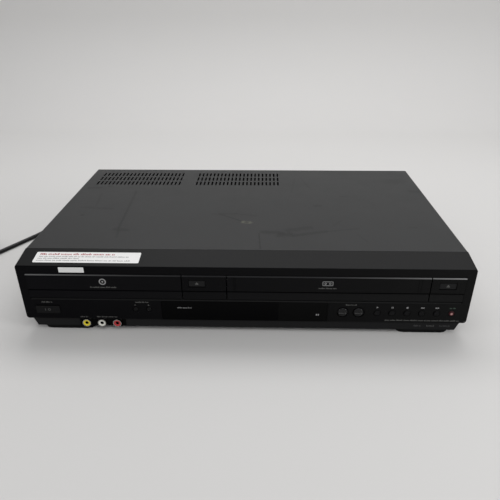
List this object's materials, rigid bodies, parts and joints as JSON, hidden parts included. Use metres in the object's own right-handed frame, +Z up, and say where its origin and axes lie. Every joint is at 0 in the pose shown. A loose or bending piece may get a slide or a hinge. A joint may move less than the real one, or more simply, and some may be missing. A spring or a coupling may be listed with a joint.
{
  "type": "disc and tape recorder",
  "caption": "Wide low black player case with a disc tray door, a tape cassette flap, a smoked display window, front jacks and push buttons, and a captive mains lead.",
  "frame": {"origin": "on the surface that the feet stand on, below the middle of the case and of what stands out of it at the front and the back, without the mains lead", "axes": "+X to the right seen from the front, along the width; +Y from the front to the back; +Z up"},
  "size_m": [0.6193, 0.3399, 0.079],
  "materials": {
    "top_cover": "dark grey satin paint on folded steel",
    "front_fascia": "black moulded plastic, low gloss",
    "display_window": "smoked near-black clear plastic, polished",
    "display_tube": "dark display glass",
    "front_board": "tan paper board with black switches",
    "rear_panel": "zinc plated sheet steel",
    "bottom_chassis": "zinc plated sheet steel",
    "main_board": "green circuit board with black chips",
    "power_board": "tan circuit board with its capacitor and transformer",
    "front_jack_block": "black moulded plastic",
    "front_jack_shells": "nickel plated brass",
    "jack_insert_yellow": "yellow plastic",
    "jack_insert_white": "white plastic",
    "jack_insert_red": "red plastic",
    "rear_jack_block": "black moulded plastic",
    "rear_jack_shells": "nickel plated brass",
    "tuner_box": "tinned sheet steel",
    "loader_frame": "black moulded plastic",
    "disc_tray": "black moulded plastic, fine matt grain",
    "tray_door": "black moulded plastic, low gloss",
    "clamp_bridge": "bare sheet steel",
    "disc_clamp": "white plastic",
    "loader_traverse": "grey glass filled plastic",
    "disc_turntable": "black plastic on a steel spindle",
    "optical_pickup": "grey die cast metal with a plastic lens",
    "tray_gear": "natural white acetal",
    "deck_chassis": "zinc plated sheet steel",
    "lower_drum": "turned aluminium",
    "head_drum": "turned aluminium",
    "supply_reel": "white acetal",
    "takeup_reel": "white acetal",
    "capstan": "ground steel",
    "pinch_roller_arm": "plated steel",
    "pinch_roller": "ground rubber",
    "sound_head": "polished steel case on its post",
    "deck_brackets": "zinc plated sheet steel",
    "holder_carriage": "zinc plated sheet steel",
    "cassette_holder": "bare sheet steel",
    "cassette_door": "black moulded plastic, low gloss",
    "strain_relief": "soft black sleeve",
    "mains_cord_lead": "black flexible sheath",
    "mains_cord_coil": "black flexible sheath",
    "mains_plug": "black moulded plug with two metal blades",
    "foot_front_left": "black rubber",
    "foot_front_right": "black rubber",
    "foot_rear_left": "black rubber",
    "foot_rear_right": "black rubber",
    "button_power": "black plastic cap",
    "button_tracking_minus": "black plastic cap",
    "button_tracking_plus": "black plastic cap",
    "button_disc_eject": "black plastic cap",
    "button_tape_eject": "black plastic cap",
    "button_select_disc": "black plastic cap",
    "button_select_tape": "black plastic cap",
    "button_play": "black plastic cap",
    "button_pause": "black plastic cap",
    "button_stop": "black plastic cap",
    "button_rewind": "black plastic cap",
    "button_fast_forward": "black plastic cap",
    "button_record": "dark red plastic cap"
  },
  "bodies": {
    "case": {"top_cover": "top_cover", "front_fascia": "front_fascia", "display_window": "display_window", "display_tube": "display_tube", "front_board": "front_board", "rear_panel": "rear_panel", "bottom_chassis": "bottom_chassis", "main_board": "main_board", "power_board": "power_board", "front_jack_block": "front_jack_block", "front_jack_shells": "front_jack_shells", "jack_insert_yellow": "jack_insert_yellow", "jack_insert_white": "jack_insert_white", "jack_insert_red": "jack_insert_red", "rear_jack_block": "rear_jack_block", "rear_jack_shells": "rear_jack_shells", "tuner_box": "tuner_box", "loader_frame": "loader_frame", "clamp_bridge": "clamp_bridge", "deck_chassis": "deck_chassis", "lower_drum": "lower_drum", "sound_head": "sound_head", "deck_brackets": "deck_brackets", "strain_relief": "strain_relief", "mains_cord_lead": "mains_cord_lead", "mains_cord_coil": "mains_cord_coil", "mains_plug": "mains_plug", "foot_front_left": "foot_front_left", "foot_front_right": "foot_front_right", "foot_rear_left": "foot_rear_left", "foot_rear_right": "foot_rear_right"},
    "tray": {"disc_tray": "disc_tray", "tray_door": "tray_door"},
    "gear": {"tray_gear": "tray_gear"},
    "clamp": {"disc_clamp": "disc_clamp"},
    "traverse": {"loader_traverse": "loader_traverse"},
    "turntable": {"disc_turntable": "disc_turntable"},
    "pickup": {"optical_pickup": "optical_pickup"},
    "drum": {"head_drum": "head_drum"},
    "supply": {"supply_reel": "supply_reel"},
    "takeup": {"takeup_reel": "takeup_reel"},
    "capstan_shaft": {"capstan": "capstan"},
    "pinch_arm": {"pinch_roller_arm": "pinch_roller_arm"},
    "roller": {"pinch_roller": "pinch_roller"},
    "carriage": {"holder_carriage": "holder_carriage"},
    "holder": {"cassette_holder": "cassette_holder"},
    "flap": {"cassette_door": "cassette_door"},
    "key_power": {"button_power": "button_power"},
    "key_tracking_minus": {"button_tracking_minus": "button_tracking_minus"},
    "key_tracking_plus": {"button_tracking_plus": "button_tracking_plus"},
    "key_disc_eject": {"button_disc_eject": "button_disc_eject"},
    "key_tape_eject": {"button_tape_eject": "button_tape_eject"},
    "key_select_disc": {"button_select_disc": "button_select_disc"},
    "key_select_tape": {"button_select_tape": "button_select_tape"},
    "key_play": {"button_play": "button_play"},
    "key_pause": {"button_pause": "button_pause"},
    "key_stop": {"button_stop": "button_stop"},
    "key_rewind": {"button_rewind": "button_rewind"},
    "key_fast_forward": {"button_fast_forward": "button_fast_forward"},
    "key_record": {"button_record": "button_record"}
  },
  "joints": [
    {"name": "tray_slide", "type": "slide", "parent": "case", "child": "tray", "axis": [0, -1, 0], "range_m": [0, 0.135]},
    {"name": "tray_gear_turn", "type": "hinge", "parent": "case", "child": "gear", "pos_m": [-0.08465, -0.1129, 0.0468], "axis": [0, 0, -1], "range_deg": [0, 970]},
    {"name": "traverse_lift", "type": "hinge", "parent": "case", "child": "traverse", "pos_m": [-0.13265, 0.019, 0.035], "axis": [-1, 0, 0], "range_deg": [0, 5]},
    {"name": "turntable_spin", "type": "hinge", "parent": "traverse", "child": "turntable", "pos_m": [-0.13265, -0.0628, 0.0291], "axis": [0, -0.0872, 0.9962], "continuous": true},
    {"name": "clamp_spin", "type": "hinge", "parent": "case", "child": "clamp", "pos_m": [-0.13265, -0.063, 0.0627], "axis": [0, 0, 1], "continuous": true},
    {"name": "pickup_slide", "type": "slide", "parent": "traverse", "child": "pickup", "axis": [0, 0.9962, 0.0872], "range_m": [0, 0.034]},
    {"name": "head_drum_spin", "type": "hinge", "parent": "case", "child": "drum", "pos_m": [0.0792, 0.06191, 0.0407], "axis": [0, 0.1045, 0.9945], "continuous": true},
    {"name": "supply_reel_spin", "type": "hinge", "parent": "case", "child": "supply", "pos_m": [0.0332, -0.0089, 0.0235], "axis": [0, 0, 1], "continuous": true},
    {"name": "takeup_reel_spin", "type": "hinge", "parent": "case", "child": "takeup", "pos_m": [0.1252, -0.0089, 0.0235], "axis": [0, 0, 1], "continuous": true},
    {"name": "capstan_spin", "type": "hinge", "parent": "case", "child": "capstan_shaft", "pos_m": [0.1272, 0.0391, 0.0217], "axis": [0, 0, 1], "continuous": true},
    {"name": "pinch_arm_swing", "type": "hinge", "parent": "case", "child": "pinch_arm", "pos_m": [0.1472, 0.0511, 0.0272], "axis": [0, 0, -1], "range_deg": [0, 30], "stiffness_Nm_per_rad": 0.02, "springref_deg": -5.73},
    {"name": "pinch_roller_spin", "type": "hinge", "parent": "pinch_arm", "child": "roller", "pos_m": [0.13978, 0.02395, 0.0352], "axis": [0, 0, 1], "continuous": true},
    {"name": "carriage_slide", "type": "slide", "parent": "case", "child": "carriage", "axis": [0, 1, 0], "range_m": [0, 0.062]},
    {"name": "holder_drop", "type": "slide", "parent": "carriage", "child": "holder", "axis": [0, 0, -1], "range_m": [0, 0.014]},
    {"name": "cassette_door_swing", "type": "hinge", "parent": "case", "child": "flap", "pos_m": [0.0792, -0.1329, 0.07], "axis": [1, 0, 0], "range_deg": [0, 85], "stiffness_Nm_per_rad": 0.01, "springref_deg": -17.19},
    {"name": "power_press", "type": "slide", "parent": "case", "child": "key_power", "axis": [0, 1, 0], "range_m": [0, 0.0007], "stiffness_N_per_m": 700, "springref_m": -0.0006},
    {"name": "tracking_minus_press", "type": "slide", "parent": "case", "child": "key_tracking_minus", "axis": [0, 1, 0], "range_m": [0, 0.0007], "stiffness_N_per_m": 700, "springref_m": -0.0006},
    {"name": "tracking_plus_press", "type": "slide", "parent": "case", "child": "key_tracking_plus", "axis": [0, 1, 0], "range_m": [0, 0.0007], "stiffness_N_per_m": 700, "springref_m": -0.0006},
    {"name": "disc_eject_press", "type": "slide", "parent": "case", "child": "key_disc_eject", "axis": [0, 1, 0], "range_m": [0, 0.0007], "stiffness_N_per_m": 700, "springref_m": -0.0006},
    {"name": "tape_eject_press", "type": "slide", "parent": "case", "child": "key_tape_eject", "axis": [0, 1, 0], "range_m": [0, 0.0007], "stiffness_N_per_m": 700, "springref_m": -0.0006},
    {"name": "select_disc_press", "type": "slide", "parent": "case", "child": "key_select_disc", "axis": [0, 1, 0], "range_m": [0, 0.0007], "stiffness_N_per_m": 700, "springref_m": -0.0006},
    {"name": "select_tape_press", "type": "slide", "parent": "case", "child": "key_select_tape", "axis": [0, 1, 0], "range_m": [0, 0.0007], "stiffness_N_per_m": 700, "springref_m": -0.0006},
    {"name": "play_press", "type": "slide", "parent": "case", "child": "key_play", "axis": [0, 1, 0], "range_m": [0, 0.0007], "stiffness_N_per_m": 700, "springref_m": -0.0006},
    {"name": "pause_press", "type": "slide", "parent": "case", "child": "key_pause", "axis": [0, 1, 0], "range_m": [0, 0.0007], "stiffness_N_per_m": 700, "springref_m": -0.0006},
    {"name": "stop_press", "type": "slide", "parent": "case", "child": "key_stop", "axis": [0, 1, 0], "range_m": [0, 0.0007], "stiffness_N_per_m": 700, "springref_m": -0.0006},
    {"name": "rewind_press", "type": "slide", "parent": "case", "child": "key_rewind", "axis": [0, 1, 0], "range_m": [0, 0.0007], "stiffness_N_per_m": 700, "springref_m": -0.0006},
    {"name": "fast_forward_press", "type": "slide", "parent": "case", "child": "key_fast_forward", "axis": [0, 1, 0], "range_m": [0, 0.0007], "stiffness_N_per_m": 700, "springref_m": -0.0006},
    {"name": "record_press", "type": "slide", "parent": "case", "child": "key_record", "axis": [0, 1, 0], "range_m": [0, 0.0007], "stiffness_N_per_m": 700, "springref_m": -0.0006}
  ],
  "couplings": [
    {"joint": "tray_gear_turn", "follows": "tray_slide", "rad_per_m": 125},
    {"joint": "clamp_spin", "follows": "turntable_spin", "ratio": 1}
  ]
}
